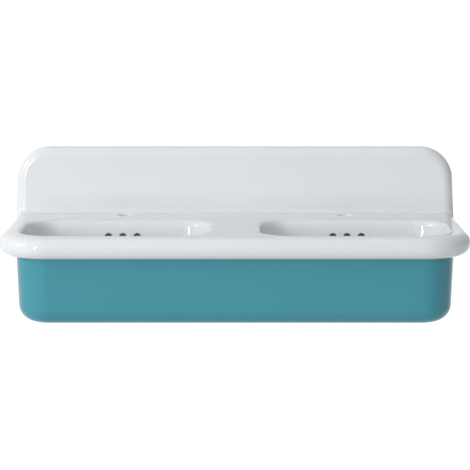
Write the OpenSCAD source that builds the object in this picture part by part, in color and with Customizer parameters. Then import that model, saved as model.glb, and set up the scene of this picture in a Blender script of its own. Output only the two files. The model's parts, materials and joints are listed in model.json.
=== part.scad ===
// Wall-hung double washbasin: one glazed ceramic body with two bowls, and a push-plug waste in each.
// Heights below are measured from the deck, the level top of the basin round its bowls.
// The origin lies on the wall, midway between the two wall fixings. The front faces -Y.

/* [Overall] */
// Width over the rolled rim
basin_w = 1200; // [1100:10:1400]
// Depth from the wall to the front of the rim
basin_d = 480; // [450:5:560]
// Thickness of the white casting
wall_t = 12; // [9:0.5:13]

/* [Rim] */
// Radius of the rolled edge
rim_r = 28; // [24:1:32]
// Radius of the rim's front corners, seen from above
rim_corner_r = 132; // [110:1:150]
// Level strip between the rolled edge and the bowls
rim_land = 10; // [6:1:20]

/* [Splashback] */
// Height of the splashback above the deck
splash_h = 181; // [130:1:260]
// Thickness of the splashback, which is also the radius of its rolled edge
splash_t = 28; // [22:1:34]
// Radius of the splashback's top corners
splash_corner_r = 86; // [50:1:120]
// Radius of the cove where the splashback meets the deck
cove_r = 13; // [6:1:20]

/* [Bowls] */
// Width of the level strip between the two bowls
divider_w = 96; // [80:1:140]
// Depth of the deck between the splashback and the bowls
deck_w = 112; // [104:1:140]
// Radius of the rounded lip round each bowl
lip_r = 26; // [20:1:28]
// Radius of a bowl's corners at the lip, seen from above
bowl_corner_r = 95; // [88:1:105]
// Depth of a bowl below the deck
bowl_depth = 145; // [125:1:150]
// Radius between the bowl's walls and its floor
bowl_fillet_r = 46; // [30:1:50]
// Slope of the bowl's walls, in degrees
bowl_draft = 8; // [5:0.5:9]
// Fall of the dished floor towards the waste
dish_fall = 5; // [3:0.5:7]

/* [Tap and waste stations] */
// How much nearer the middle of the basin each tap hole and waste stands than its bowl's own middle
station_shift = 7; // [0:1:15]
// Diameter of a tap hole
tap_hole_d = 35; // [30:0.5:36]
// Distance of the tap holes from the splashback's face
tap_setback = 36; // [32:1:50]
// Chamfer round a tap hole
tap_chamfer = 2.5; // [1:0.5:4]
// Diameter of an overflow hole
overflow_hole_d = 20; // [14:0.5:24]
// Distance between neighbouring overflow holes
overflow_pitch = 38; // [30:0.5:40]
// Depth of the overflow holes' centres below the deck
overflow_drop = 45; // [44:1:60]
// Outer width of the overflow channel behind a bowl
channel_w = 124; // [116:1:140]
// Room for water inside the overflow channel, front to back
channel_gap = 24; // [16:1:30]
// Thickness of the overflow channel's walls
channel_t = 9; // [6:0.5:12]
// Clear height of the overflow channel under the bowl
channel_h = 25.5; // [20:0.5:28]

/* [Apron] */
// How far the apron stands back from the rim at the sides
apron_side_inset = 47; // [46:1:54]
// How far the apron stands back from the rim at the front
apron_front_inset = 43; // [40:1:50]
// Radius of the apron's front corners
apron_corner_r = 63; // [56:1:80]
// Slope of the apron's walls, in degrees
apron_draft = 1.8; // [1:0.1:3]
// Radius of the rounded bottom edge
apron_fillet_r = 44; // [30:1:48]
// Depth of the apron's underside below the deck
apron_drop = 230; // [226:1:250]
// Thickness of the apron
apron_t = 9; // [6:0.5:9]
// Width of the flat return along the underside, inside the rounded edge
apron_return = 26; // [10:1:40]

/* [Wall fixing] */
// Distance of each wall fixing from the side of the basin
fixing_inset = 180; // [150:5:240]
// Depth of the wall fixings below the deck
fixing_drop = 78; // [70:1:90]
// Height of the back wall that hangs below the deck
back_drop = 120; // [110:1:130]
// Diameter of the hole for a fixing bush
bush_hole_d = 24; // [20:0.5:26]
// Diameter of the bore for a wall bolt
bolt_bore_d = 13; // [11:0.5:15]
// Diameter of a bush's head
bush_head_d = 36; // [32:1:40]
// Thickness of a bush's head
bush_head_t = 3; // [2:0.5:5]

/* [Waste] */
// Diameter of the waste hole through the ceramic
waste_hole_d = 46; // [45:0.5:50]
// Thickness of the ceramic under the waste's flange
boss_t = 10; // [8:0.5:14]
// Width of the thickened ceramic round the waste hole
boss_w = 20; // [16:1:24]
// Diameter of the waste's flange
flange_d = 65; // [60:0.5:68]
// Thickness of the waste's flange
flange_t = 3; // [2:0.5:4]
// Outer diameter of the waste's threaded tail
tail_d = 41.9; // [41:0.1:43]
// Diameter of that thread halfway up its flanks, where the backnut bears on it
tail_pitch_d = 40.4; // [39.5:0.1:40.8]
// Bore of the waste
waste_bore_d = 36.4; // [34:0.1:37]
// Length of thread that stands below the backnut for a trap
tail_end = 17; // [14:1:18]
// Thickness of the sealing ring under the flange
gasket_t = 1.5; // [1:0.5:2.5]
// Thickness of the rubber washer under the ceramic
washer_t = 5; // [3:0.5:6]
// Thickness of the plastic friction washer
slip_t = 2; // [1:0.5:3]
// Distance across the flats of the backnut
nut_af = 55; // [50:1:60]
// Thickness of the backnut
nut_t = 9; // [7:0.5:10]
// Outer diameter of the two washers
washer_d = 66; // [60:1:70]
// Width of an overflow slot in the waste's side
slot_w = 22; // [14:1:26]

/* [Plug] */
// Diameter of the plug's cap
cap_d = 60; // [50:0.5:62]
// Thickness of the cap at its edge
cap_edge_t = 2.5; // [1.5:0.5:4]
// Height of the cap's dome above its edge
cap_dome_h = 4; // [2:0.5:6]
// How far the plug travels between open and closed
plug_travel = 8; // [6:0.5:9]
// Gap left between parts of a closed plug and the waste
closed_gap = 0.5; // [0.3:0.1:1]
// Thickness of the plug's sealing ring
seal_t = 4; // [3:0.5:6]
// Diameter of the plug's stem
stem_d = 8; // [6:0.5:9]
// Radial clearance of the stem in its cartridge
stem_fit = 0.05; // [0.02:0.01:0.09]
// Outer diameter of the latch cartridge
cartridge_d = 12.6; // [12:0.2:14]
// Length of the latch cartridge
cartridge_l = 34; // [30:1:36]
// Wire diameter of the cartridge's spring
spring_wire_d = 0.9; // [0.6:0.1:1.2]
// Number of turns of the cartridge's spring
spring_turns = 5; // [4:1:9]

/* [Hidden] */
$fn = 96;

white_glaze = [0.87, 0.89, 0.90];
teal_glaze = [0.30, 0.56, 0.62];
fine_gap = 0.2;             // radial gap of a fixed piece in its hole
far = 1;                    // how far a cutter runs past a face
lap = 5;                    // how far the shapes that make up one casting run into each other
deck_z = fixing_drop;       // height of the deck above the origin
fixing_pitch = basin_w - 2 * fixing_inset;

// Rolled rim
rim_h = 2 * rim_r;
land_lap = 0.4 * rim_land;                  // the deck plate runs this far into the rim and into the bowls' lips
lip_inset = rim_r + rim_land;               // the bowls' lips start here, measured in from the outside
rim_return = 20;                            // the rim's underside runs this far in past the start of the lips

// A bowl's wall in section: u runs outwards from the axis of the bowl's corner
lip_u = bowl_corner_r;
wall_top = [lip_u - lip_r * cos(bowl_draft), -lip_r + lip_r * sin(bowl_draft)];
fillet_z = -bowl_depth + bowl_fillet_r;
wall_foot_z = fillet_z - bowl_fillet_r * sin(bowl_draft);
wall_foot = [wall_top[0] - (wall_top[1] - wall_foot_z) * tan(bowl_draft), wall_foot_z];
fillet_u = wall_foot[0] - bowl_fillet_r * cos(bowl_draft);
out_of_wall = [cos(bowl_draft), -sin(bowl_draft)];

// How far a bowl wall's outer skin stands from the corner axis at height z below the deck
function skin_u(z) = wall_top[0] - (wall_top[1] - z) * tan(bowl_draft) + wall_t / cos(bowl_draft);

// A bowl in plan: the rectangle between the axes of its four corners
bowl_x0 = divider_w / 2 + bowl_corner_r;
bowl_x1 = basin_w / 2 - lip_inset - bowl_corner_r;
bowl_y0 = -basin_d + lip_inset + bowl_corner_r;
bowl_y1 = -splash_t - deck_w - bowl_corner_r;
bowl_x = (bowl_x0 + bowl_x1) / 2;
station_x = bowl_x - station_shift;
bowl_y = (bowl_y0 + bowl_y1) / 2;
core_w = bowl_x1 - bowl_x0;
core_d = bowl_y1 - bowl_y0;

// The dished floor and the waste's seat, as depths below the deck
dish_land = 2;              // level strip left round the dish
seat_gap = 1;               // room round the flange in its seat
dish_r = core_d / 2 + fillet_u - dish_land;
seat_r = flange_d / 2 + seat_gap;
flange_top = -bowl_depth - dish_fall;
seat_z = flange_top - flange_t - gasket_t;
boss_r = waste_hole_d / 2 + boss_w;
boss_z = seat_z - boss_t;
floor_under = -bowl_depth - wall_t;

// Overflow channel
channel_head = 1;           // the channel's ceiling stands this far above the overflow holes
channel_top = -overflow_drop + overflow_hole_d / 2 + channel_head + channel_t;
channel_floor = floor_under - channel_h;
channel_under = channel_floor - channel_t;
skin_y = bowl_y1 + skin_u(channel_top);       // the bowl's back skin at the top of the channel
foot_y = bowl_y1 + skin_u(wall_foot_z);       // and at the foot of its wall
channel_y = skin_y + channel_gap + channel_t;

// Stack of pieces under the ceramic
washer_z = channel_under - washer_t;
slip_z = washer_z - slip_t;
nut_z = slip_z - nut_t;
tail_z = nut_z - tail_end;

// Plug and latch
tail_r = tail_d / 2;
waste_bore_r = waste_bore_d / 2;
cap_under = flange_top + closed_gap + plug_travel;
cap_sphere_r = ((cap_d / 2) ^ 2 + cap_dome_h ^ 2) / (2 * cap_dome_h);
slot_land = 1;              // the overflow slots end this far from the ceramic above and below
slot_z0 = channel_floor + slot_land;
slot_z1 = boss_z - slot_land;
spider_t = 6;
spider_z = (slot_z0 + slot_z1 - spider_t) / 2;
spider_hub_t = 4;
spider_arm_w = 5;
arm_root = 1;               // the spider's arms run this far into the waste's wall
mouth_h = 2;                // depth of the chamfer at the waste's mouth
collar_t = 3;
collar_w = 2;
cartridge_top = spider_z + spider_t + collar_t;
cartridge_z = cartridge_top - cartridge_l;
cartridge_floor_t = 2;
bore_r = stem_d / 2 + stem_fit;
spring_room = 7;            // room left for the spring when the plug is closed
stem_foot = cartridge_z + cartridge_floor_t + plug_travel + spring_room;
spring_z0 = cartridge_z + cartridge_floor_t + closed_gap;
spring_z1 = stem_foot - closed_gap;
spring_r = stem_d / 2 - spring_wire_d / 2 - fine_gap;

// Apron in section: u runs outwards from the axis of the apron's front corner
apron_fillet_z = -apron_drop + apron_fillet_r;
apron_foot_z = apron_fillet_z - apron_fillet_r * sin(apron_draft);
apron_foot_u = apron_corner_r - (-rim_h - apron_foot_z) * tan(apron_draft);
apron_fillet_u = apron_foot_u - apron_fillet_r * cos(apron_draft);
out_of_apron = [cos(apron_draft), -sin(apron_draft)];
apron_w = basin_w - 2 * apron_side_inset;
apron_d = basin_d - apron_front_inset;

// A ring sector about the origin, cut square to its arc
module arc_band(r_in, r_out, a0, a1) {
    reach = 2 * r_out;
    mid = (a0 + a1) / 2;
    intersection() {
        difference() {
            circle(r = r_out);
            circle(r = r_in);
        }
        polygon([
            [0, 0], reach * [cos(a0), sin(a0)], reach * [cos(mid), sin(mid)], reach * [cos(a1), sin(a1)]
        ]);
    }
}

// A pie slice about the origin
module pie(r, a0, a1) {
    reach = 2 * r;
    mid = (a0 + a1) / 2;
    intersection() {
        circle(r = r);
        polygon([
            [0, 0], reach * [cos(a0), sin(a0)], reach * [cos(mid), sin(mid)], reach * [cos(a1), sin(a1)]
        ]);
    }
}

// Carries a section round a rectangle w by d: straight along the sides, turning about the corners
module around(w, d) {
    for (q = [0:3])
        rotate(90 * q) {
            across = q % 2 == 0 ? w : d;
            along = q % 2 == 0 ? d : w;
            translate([across / 2, 0, 0])
                rotate([90, 0, 0])
                    linear_extrude(along, center = true)
                        children();
            translate([across / 2, along / 2, 0])
                rotate_extrude(angle = 90)
                    children();
        }
}

// Carries a section along three sides of an outline w by d that is open at y = 0 and has rounded front corners
module round_front(w, d, r) {
    for (side = [0, 1])
        mirror([side, 0, 0]) {
            translate([w / 2 - r, 0, 0])
                rotate([90, 0, 0])
                    linear_extrude(d - r)
                        children();
            translate([w / 2 - r, r - d, 0])
                rotate(-90)
                    rotate_extrude(angle = 90)
                        children();
        }
    translate([0, r - d, 0])
        rotate(-90)
            rotate([90, 0, 0])
                linear_extrude(w - 2 * r, center = true)
                    children();
}

// The flat outline that round_front follows, moved in by inset
module round_front_plan(w, d, r, inset) {
    translate([-w / 2 + inset, r - d])
        square([w - 2 * inset, d - r]);
    translate([-w / 2 + r, inset - d])
        square([w - 2 * r, r - inset + far]);
    for (side = [-1, 1])
        translate([side * (w / 2 - r), r - d])
            circle(r = r - inset);
}

// A rectangle w by d between corner axes, with a rounded border r wide
module round_plan(w, d, r) {
    square([w + 2 * r, d], center = true);
    square([w, d + 2 * r], center = true);
    for (x = [-1, 1], y = [-1, 1])
        translate([x * w / 2, y * d / 2])
            circle(r = r);
}

// Puts its children at the middle of one bowl, or at its tap and waste line; side is -1 or 1
module at_bowl(side) {
    translate([side * bowl_x, bowl_y, deck_z])
        children();
}

module at_waste(side) {
    translate([side * station_x, bowl_y, deck_z])
        children();
}

// Section of the rolled rim: a hollow roll with a level top and an inward return underneath
module rim_section() {
    translate([rim_corner_r - rim_r, -rim_r]) {
        arc_band(rim_r - wall_t, rim_r, 0, 90);
        arc_band(rim_r - wall_t, rim_r, -90, 0);
    }
    translate([rim_corner_r - rim_r - 2 * land_lap, -wall_t])
        square([2 * land_lap, wall_t]);
    translate([rim_corner_r - lip_inset - rim_return, -rim_h])
        square([rim_land + rim_return, wall_t]);
}

// Section of a bowl's wall: level flange, rounded lip, leaning wall, fillet and floor
module bowl_section() {
    translate([lip_u, -wall_t])
        square([2 * land_lap, wall_t]);
    translate([lip_u, -lip_r])
        arc_band(lip_r - wall_t, lip_r, 90, 180 - bowl_draft);
    polygon([
        wall_top, wall_foot, wall_foot + wall_t * out_of_wall, wall_top + wall_t * out_of_wall
    ]);
    translate([fillet_u, fillet_z])
        arc_band(bowl_fillet_r, bowl_fillet_r + wall_t, -90, -bowl_draft);
    translate([0, floor_under])
        square([fillet_u, wall_t]);
}

// Section of everything inside a bowl's outer skin, from its floor up to just under the deck
module bowl_mass_section() {
    foot = [fillet_u, fillet_z] + (bowl_fillet_r + wall_t) * out_of_wall;
    top = wall_top + wall_t * out_of_wall;
    polygon([
        [0, floor_under], [fillet_u, floor_under], foot, top, [top[0], -wall_t], [0, -wall_t]
    ]);
    translate([fillet_u, fillet_z])
        circle(r = bowl_fillet_r + wall_t);
}

// The straight stretch of a bowl's back and floor, as one solid bar w long
module bowl_back_mass(w) {
    rotate([90, 0, 90])
        linear_extrude(w, center = true) {
            translate([core_d / 2, 0])
                bowl_mass_section();
            translate([-core_d / 2 - bowl_corner_r, floor_under])
                square([core_d + bowl_corner_r, bowl_depth]);
        }
}

// The boss that thickens the floor round the waste hole
module waste_boss() {
    translate([0, 0, boss_z])
        cylinder(r = boss_r, h = floor_under - boss_z + wall_t / 2);
}

module bowl_shell() {
    around(core_w, core_d)
        bowl_section();
    translate([-core_w / 2, -core_d / 2, floor_under])
        cube([core_w, core_d, wall_t]);
}

// Dished floor, flange seat and waste hole, cut about the waste's axis
module waste_cut() {
    translate([0, 0, flange_top])
        cylinder(r1 = seat_r, r2 = dish_r, h = dish_fall);
    translate([0, 0, -bowl_depth])
        cylinder(r = dish_r, h = far);
    translate([0, 0, seat_z])
        cylinder(r = seat_r, h = flange_top - seat_z + far);
    translate([0, 0, boss_z - far])
        cylinder(d = waste_hole_d, h = seat_z - boss_z + 2 * far);
}

module deck_plate() {
    translate([0, 0, deck_z - wall_t])
        linear_extrude(wall_t)
            difference() {
                round_front_plan(basin_w, basin_d, rim_corner_r, rim_r + land_lap);
                for (side = [-1, 1])
                    translate([side * bowl_x, bowl_y])
                        round_plan(core_w, core_d, lip_u + land_lap);
            }
}

// Section of the splashback's edge, a quarter roll that runs back to the wall
module splash_edge_section() {
    translate([splash_corner_r - splash_t, 0])
        pie(splash_t, -90, 0);
    translate([splash_corner_r - splash_t - 2 * lap, -splash_t])
        square([2 * lap, splash_t]);
}

// The splashback starts at the middle of the rolled rim, and its front faces -Y
module splashback() {
    full_h = splash_h + rim_r;
    translate([0, 0, deck_z - rim_r])
        rotate([-90, 0, 0]) {
            round_front(basin_w, full_h, splash_corner_r)
                splash_edge_section();
            translate([0, 0, -splash_t])
                linear_extrude(splash_t)
                    round_front_plan(basin_w, full_h, splash_corner_r, splash_t + lap);
        }
}

// Cove between the deck and the splashback: a quarter of a circle in short straight steps
module cove() {
    step = 15;
    length = basin_w - 2 * max(rim_r, splash_t);
    translate([0, -splash_t, deck_z])
        rotate([90, 0, 90])
            linear_extrude(length, center = true)
                polygon(concat(
                    [[0, 0]],
                    [for (a = [0:step:90]) [cove_r * (sin(a) - 1), cove_r * (1 - cos(a))]]
                ));
}

// Back wall under the splashback, which carries the wall fixings
module back_wall() {
    side_gap = 6;
    width = apron_w - 2 * apron_t - 2 * side_gap;
    translate([-width / 2, -wall_t, deck_z - back_drop])
        cube([width, wall_t, back_drop - wall_t / 2]);
}

module overflow_holes() {
    for (i = [-1:1])
        translate([i * overflow_pitch, skin_y - bowl_y + far, -overflow_drop])
            rotate([90, 0, 0])
                cylinder(d = overflow_hole_d, h = bowl_corner_r);
}

module tap_hole() {
    translate([0, -splash_t - tap_setback, deck_z - 2 * wall_t])
        cylinder(d = tap_hole_d, h = 3 * wall_t);
    translate([0, -splash_t - tap_setback, deck_z - tap_chamfer])
        cylinder(d1 = tap_hole_d, d2 = tap_hole_d + 4 * tap_chamfer, h = 2 * tap_chamfer);
}

module fixing_holes(d) {
    for (side = [-1, 1])
        translate([side * fixing_pitch / 2, far, 0])
            rotate([90, 0, 0])
                cylinder(d = d, h = 2 * wall_t + bush_head_t);
}

module basin() {
    color(white_glaze)
        difference() {
            union() {
                translate([0, 0, deck_z])
                    round_front(basin_w, basin_d, rim_corner_r)
                        rim_section();
                deck_plate();
                splashback();
                cove();
                back_wall();
                for (side = [-1, 1]) {
                    at_bowl(side)
                        bowl_shell();
                    at_waste(side)
                        waste_boss();
                }
            }
            for (side = [-1, 1]) {
                at_waste(side) {
                    waste_cut();
                    overflow_holes();
                }
                translate([side * station_x, 0, 0])
                    tap_hole();
            }
            fixing_holes(bush_hole_d);
        }
}

// Section of the apron: leaning wall, rounded bottom edge and the start of the underside
module apron_section() {
    top_u = apron_corner_r;
    foot = [apron_foot_u, apron_foot_z];
    polygon([
        [top_u, -rim_h], foot, foot - apron_t * out_of_apron, [top_u - apron_t / cos(apron_draft), -rim_h]
    ]);
    translate([apron_fillet_u, apron_fillet_z])
        arc_band(apron_fillet_r - apron_t, apron_fillet_r, -90, -apron_draft);
    translate([0, -apron_drop])
        square([apron_fillet_u, apron_t]);
}

module apron() {
    inner_w = apron_w - 2 * apron_corner_r;
    inner_d = apron_d - apron_corner_r;
    opening_r = 30;
    color(teal_glaze)
        translate([0, 0, deck_z]) {
            round_front(apron_w, apron_d, apron_corner_r)
                apron_section();
            translate([0, 0, -apron_drop])
                linear_extrude(apron_t)
                    difference() {
                        translate([-inner_w / 2, -inner_d])
                            square([inner_w, inner_d]);
                        translate([0, far])
                            round_front_plan(inner_w - 2 * apron_return, inner_d - apron_return + far, opening_r, 0);
                    }
        }
}

// Outline of the overflow channel under and behind a bowl, drawn in by inset
module channel_body(inset) {
    w = channel_w - 2 * inset;
    back = channel_y - inset - bowl_y;
    bottom = channel_under + inset;
    top = channel_top - inset;
    inside = foot_y - bowl_y - bowl_fillet_r;
    translate([-w / 2, inside, bottom])
        cube([w, back - inside, top - bottom]);
    translate([0, 0, bottom])
        linear_extrude(-bowl_depth - bottom) {
            circle(d = w);
            translate([-w / 2, 0])
                square([w, back]);
        }
}

// The overflow channel: a hollow ceramic cover luted to the back and the underside of a bowl
module overflow_channel(side) {
    color(white_glaze)
        difference() {
            at_waste(side)
                channel_body(0);
            at_waste(side)
                channel_body(channel_t);
            at_waste(side) {
                bowl_back_mass(channel_w + 2 * far);
                waste_boss();
                translate([0, 0, channel_under - far])
                    cylinder(d = waste_hole_d, h = channel_t + 2 * far);
            }
        }
}

module overflow_channel_left() { overflow_channel(-1); }
module overflow_channel_right() { overflow_channel(1); }

// Plastic bushes that keep the wall bolts off the ceramic
module fixing_bushes() {
    color("gainsboro")
        difference() {
            for (side = [-1, 1])
                translate([side * fixing_pitch / 2, 0, 0])
                    rotate([90, 0, 0]) {
                        cylinder(d = bush_hole_d - 2 * fine_gap, h = wall_t + bush_head_t);
                        translate([0, 0, wall_t])
                            cylinder(d = bush_head_d, h = bush_head_t);
                    }
            fixing_holes(bolt_bore_d);
        }
}

// A flat ring that stands on z
module ring(d_out, d_in, z, h) {
    translate([0, 0, z])
        difference() {
            cylinder(d = d_out, h = h);
            translate([0, 0, -far])
                cylinder(d = d_in, h = h + 2 * far);
        }
}

// Chromed brass waste: flange with a chamfered mouth, tail with two overflow slots, and a two-armed spider
// that holds the latch cartridge. The thread is plain: at its outer diameter below the backnut, and at its
// pitch diameter above that.
module waste_body(side) {
    color("silver")
        at_waste(side)
            difference() {
                union() {
                    difference() {
                        union() {
                            ring(flange_d, waste_bore_d, flange_top - flange_t, flange_t);
                            ring(tail_d, waste_bore_d, tail_z, tail_end);
                            ring(tail_pitch_d, waste_bore_d, nut_z, flange_top - flange_t / 2 - nut_z);
                        }
                        translate([-slot_w / 2, -tail_d, slot_z0])
                            cube([slot_w, 2 * tail_d, slot_z1 - slot_z0]);
                    }
                    intersection() {
                        translate([-tail_r, -spider_arm_w / 2, spider_z])
                            cube([2 * tail_r, spider_arm_w, spider_t]);
                        translate([0, 0, spider_z - far])
                            cylinder(r = waste_bore_r + arm_root, h = spider_t + 2 * far);
                    }
                    translate([0, 0, spider_z])
                        cylinder(d = cartridge_d + 2 * spider_hub_t, h = spider_t);
                }
                translate([0, 0, flange_top - mouth_h])
                    cylinder(r1 = waste_bore_r, r2 = waste_bore_r + 2 * mouth_h, h = 2 * mouth_h);
                translate([0, 0, spider_z - far])
                    cylinder(d = cartridge_d + 2 * stem_fit, h = spider_t + 2 * far);
            }
}

module waste_body_left() { waste_body(-1); }
module waste_body_right() { waste_body(1); }

module flange_gasket(side) {
    inset = 1;
    color("dimgray")
        at_waste(side)
            ring(flange_d - 2 * inset, tail_d + 2 * fine_gap, seat_z, gasket_t);
}

module flange_gasket_left() { flange_gasket(-1); }
module flange_gasket_right() { flange_gasket(1); }

module waste_washer(side) {
    color("dimgray")
        at_waste(side)
            ring(washer_d, tail_d + 2 * fine_gap, washer_z, washer_t);
}

module waste_washer_left() { waste_washer(-1); }
module waste_washer_right() { waste_washer(1); }

module slip_washer(side) {
    inset = 2;
    color("whitesmoke")
        at_waste(side)
            ring(washer_d - 2 * inset, tail_d + 2 * fine_gap, slip_z, slip_t);
}

module slip_washer_left() { slip_washer(-1); }
module slip_washer_right() { slip_washer(1); }

module backnut(side) {
    color("darkkhaki")
        at_waste(side)
            translate([0, 0, nut_z])
                difference() {
                    cylinder(d = nut_af / cos(30), h = nut_t, $fn = 6);
                    translate([0, 0, -far])
                        cylinder(d = tail_pitch_d + 2 * stem_fit, h = nut_t + 2 * far);
                }
}

module backnut_left() { backnut(-1); }
module backnut_right() { backnut(1); }

// Domed cap of the plug: a disc with a shallow piece of a sphere on top
module plug_cap(side) {
    edge_top = cap_under + cap_edge_t;
    color("silver")
        at_waste(side) {
            translate([0, 0, cap_under])
                cylinder(d = cap_d, h = cap_edge_t);
            translate([0, 0, edge_top])
                rotate_extrude()
                    intersection() {
                        translate([0, cap_dome_h - cap_sphere_r])
                            circle(r = cap_sphere_r, $fn = 720);
                        square([cap_d, cap_sphere_r]);
                    }
        }
}

module plug_cap_left() { plug_cap(-1); }
module plug_cap_right() { plug_cap(1); }

module plug_seal(side) {
    color("dimgray")
        at_waste(side)
            ring(waste_bore_d - 2 * closed_gap, stem_d + 2 * fine_gap, cap_under - seal_t, seal_t);
}

module plug_seal_left() { plug_seal(-1); }
module plug_seal_right() { plug_seal(1); }

module plug_stem(side) {
    color("darkgray")
        at_waste(side)
            translate([0, 0, stem_foot])
                cylinder(d = stem_d, h = cap_under - stem_foot);
}

module plug_stem_left() { plug_stem(-1); }
module plug_stem_right() { plug_stem(1); }

// Sleeve of the latch: it passes through the spider's hub and rests on it by a collar
module latch_cartridge(side) {
    color("whitesmoke")
        at_waste(side)
            difference() {
                union() {
                    translate([0, 0, cartridge_z])
                        cylinder(d = cartridge_d, h = cartridge_l);
                    translate([0, 0, spider_z + spider_t])
                        cylinder(d = cartridge_d + 2 * collar_w, h = collar_t);
                }
                translate([0, 0, cartridge_z + cartridge_floor_t])
                    cylinder(r = bore_r, h = cartridge_l);
            }
}

module latch_cartridge_left() { latch_cartridge(-1); }
module latch_cartridge_right() { latch_cartridge(1); }

// The cartridge's compression spring: a round wire carried round a helix
module latch_spring(side) {
    sides = 6;
    per_turn = 16;
    steps = spring_turns * per_turn;
    rise = spring_z1 - spring_z0 - spring_wire_d;
    points = [
        for (i = [0:steps], k = [0:sides - 1])
            let (
                turn = 360 * i / per_turn,
                wire = 360 * k / sides,
                r = spring_r + spring_wire_d / 2 * cos(wire),
                z = spring_z0 + spring_wire_d / 2 + rise * i / steps + spring_wire_d / 2 * sin(wire)
            )
            [r * cos(turn), r * sin(turn), z]
    ];
    skin = [
        for (i = [0:steps - 1], k = [0:sides - 1])
            let (
                n = (k + 1) % sides,
                a = i * sides + k,
                b = i * sides + n
            )
            each [[a, b, b + sides], [a, b + sides, a + sides]]
    ];
    foot = [for (k = [1:sides - 2]) [0, k + 1, k]];
    head = [for (k = [1:sides - 2]) [steps * sides, steps * sides + k, steps * sides + k + 1]];
    color("darkgray")
        at_waste(side)
            polyhedron(points, concat(skin, foot, head));
}

module latch_spring_left() { latch_spring(-1); }
module latch_spring_right() { latch_spring(1); }

basin();
apron();
overflow_channel_left();
overflow_channel_right();
fixing_bushes();
waste_body_left();
waste_body_right();
flange_gasket_left();
flange_gasket_right();
waste_washer_left();
waste_washer_right();
slip_washer_left();
slip_washer_right();
backnut_left();
backnut_right();
plug_cap_left();
plug_cap_right();
plug_seal_left();
plug_seal_right();
plug_stem_left();
plug_stem_right();
latch_cartridge_left();
latch_cartridge_right();
latch_spring_left();
latch_spring_right();
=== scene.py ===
import json
import math

import bmesh
import bpy
import numpy as np
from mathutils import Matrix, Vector
from mathutils.geometry import delaunay_2d_cdt


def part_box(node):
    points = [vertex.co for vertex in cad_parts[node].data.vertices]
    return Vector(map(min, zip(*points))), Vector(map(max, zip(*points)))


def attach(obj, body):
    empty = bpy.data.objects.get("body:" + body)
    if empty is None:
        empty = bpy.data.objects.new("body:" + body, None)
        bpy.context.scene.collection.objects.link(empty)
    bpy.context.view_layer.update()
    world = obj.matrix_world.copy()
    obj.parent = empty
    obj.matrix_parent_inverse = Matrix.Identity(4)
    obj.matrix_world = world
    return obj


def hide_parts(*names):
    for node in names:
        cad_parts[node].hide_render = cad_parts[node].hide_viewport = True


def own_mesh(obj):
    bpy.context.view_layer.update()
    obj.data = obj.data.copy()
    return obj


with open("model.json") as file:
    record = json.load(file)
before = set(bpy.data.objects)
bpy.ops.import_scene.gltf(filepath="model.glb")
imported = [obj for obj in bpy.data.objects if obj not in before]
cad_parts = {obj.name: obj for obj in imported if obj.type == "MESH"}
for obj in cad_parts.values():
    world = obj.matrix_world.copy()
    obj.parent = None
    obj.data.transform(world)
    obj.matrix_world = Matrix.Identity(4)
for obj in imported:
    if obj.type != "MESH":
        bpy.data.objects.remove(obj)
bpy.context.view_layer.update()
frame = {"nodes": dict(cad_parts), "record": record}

scene = bpy.context.scene
scene.view_settings.view_transform = "Standard"

mm = 0.001
basinLow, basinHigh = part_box("basin")
halfWidth = (basinHigh[0] - basinLow[0]) / 2 / mm       # the pieces are worked out in millimetres
depth = -basinLow[1] / mm
mounts = {m["name"]: m for m in frame["record"]["mounts"]}


def joinPoints(values):
    # A list of points and arrays of points joined into one array
    return np.concatenate([np.asarray(v, float).reshape(-1, 3) for v in values])


def arc(radius, start, end, steps):
    # Points of an arc about the origin, angles in degrees
    a = np.radians(np.linspace(start, end, steps + 1))
    return radius * np.column_stack([np.cos(a), np.sin(a)])


def smoothStep(t):
    # Three times the square less twice the cube: 0 to 1 with level ends
    return t * t * (3 - 2 * t)


def newSkin():
    # A skin collects points and faces, then becomes one welded closed mesh
    return {"points": [], "faces": [], "count": 0}


def strip(skin, grid, closed=False, hole=None):
    # Quads between the neighbouring rows and columns of a grid of points. closed joins the last column to
    # the first, and hole = (row0, row1, column0, column1) leaves a block of quads out.
    rows, cols = grid.shape[:2]
    r, c = np.meshgrid(np.arange(rows - 1), np.arange(cols if closed else cols - 1), indexing="ij")
    keep = np.ones(r.shape, bool)
    if hole:
        keep[hole[0]:hole[1], hole[2]:hole[3]] = False
    r, c = r[keep], c[keep]
    n = (c + 1) % cols
    quads = np.stack([r * cols + c, r * cols + n, (r + 1) * cols + n, (r + 1) * cols + c], axis=1)
    skin["points"].append(grid.reshape(-1, 3))
    skin["faces"] += (quads + skin["count"]).tolist()
    skin["count"] += rows * cols


def fill(skin, loops, drop):
    # Triangles between flat outlines: the first loop outside, the rest round or oval holes. drop is the axis
    # left out. A triangle with all its corners on one hole's outline lies in that hole.
    points = np.concatenate(loops)
    flat = np.delete(points, drop, axis=1)
    owner = np.concatenate([np.full(len(loop), k) for k, loop in enumerate(loops)])
    edges = []
    start = 0
    for loop in loops:
        n = len(loop)
        edges += [(start + k, start + (k + 1) % n) for k in range(n)]
        start += n
    made = delaunay_2d_cdt([Vector(p) for p in flat], edges, [], 1, 1e-5)
    faces = np.array([[made[3][v][0] for v in face] for face in made[2]])
    owners = owner[faces]
    inHole = (owners[:, 0] > 0) & (owners[:, 0] == owners[:, 1]) & (owners[:, 1] == owners[:, 2])
    skin["points"].append(points)
    skin["faces"] += (faces[~inHole] + skin["count"]).tolist()
    skin["count"] += len(points)


def block(grid, row0, row1, col0, col1):
    # The outline of a block of a grid
    return np.concatenate([
        grid[row0, col0:col1], grid[row0:row1, col1], grid[row1, col1:col0:-1], grid[row1:row0:-1, col0]])


meshFinish = {"weld": 2e-6, "sliver": 1e-7, "sharpAngle": 40, "flatWeight": 60}       # lengths in metres


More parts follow.
